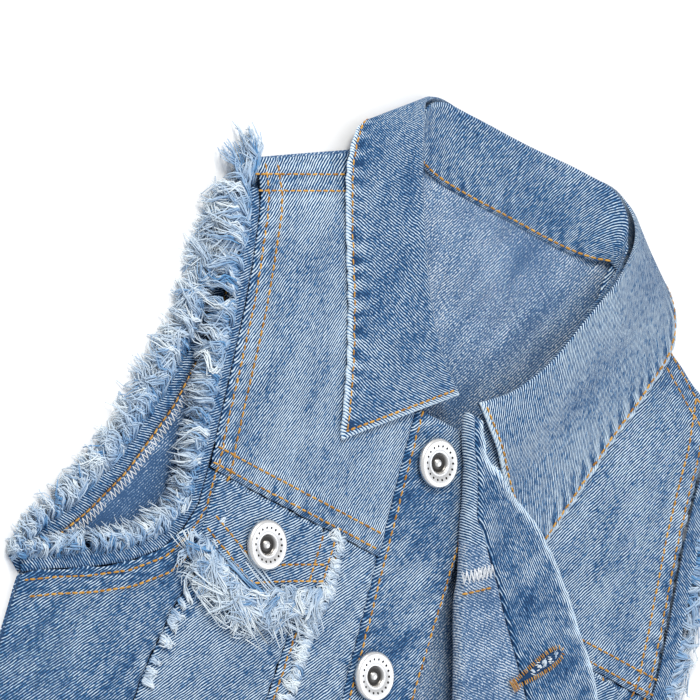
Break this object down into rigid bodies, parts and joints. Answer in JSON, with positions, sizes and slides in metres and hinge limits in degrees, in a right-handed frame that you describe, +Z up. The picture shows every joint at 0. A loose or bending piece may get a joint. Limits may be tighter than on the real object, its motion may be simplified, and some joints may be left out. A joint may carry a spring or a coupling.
{
  "type": "denim vest",
  "caption": "Cropped sleeveless denim vest laid flat, one front turned back, turned-down collar, frayed armholes and pocket flaps, metal buttons.",
  "frame": {"origin": "middle of the underside of the laid garment's box", "axes": "+Z up off the surface, +Y from hem to collar, +X across the garment"},
  "size_m": [0.3864, 0.5058, 0.0171],
  "materials": {
    "denim": "washed cotton twill, right side",
    "denim_inside": "washed cotton twill, wrong side",
    "fringe": "loose cotton threads",
    "metal": "brushed nickel plate"
  },
  "bodies": {
    "root": {"back_yoke": "denim", "back_centre": "denim", "back_side_left": "denim", "back_side_right": "denim", "back_waistband": "denim", "front_yoke_left": "denim", "front_yoke_right": "denim", "front_side_left": "denim", "front_middle_left": "denim", "front_centre_left": "denim", "placket_left": "denim", "waistband_left": "denim", "front_side_right": "denim", "front_middle_right": "denim", "waistband_right": "denim", "collar_leaf": "denim", "collar_stand": "denim", "pocket_flap_left": "denim", "pocket_flap_right": "denim", "facing_right": "denim", "front_turned_right": "denim_inside", "armhole_front_left": "fringe", "armhole_front_right": "fringe", "armhole_back_left": "fringe", "armhole_back_right": "fringe", "flap_fringe_left": "fringe", "flap_fringe_right": "fringe", "button_1": "metal", "button_2": "metal", "button_3": "metal", "button_4": "metal", "button_waist": "metal", "flap_button_left": "metal", "flap_button_right": "metal"}
  },
  "joints": []
}
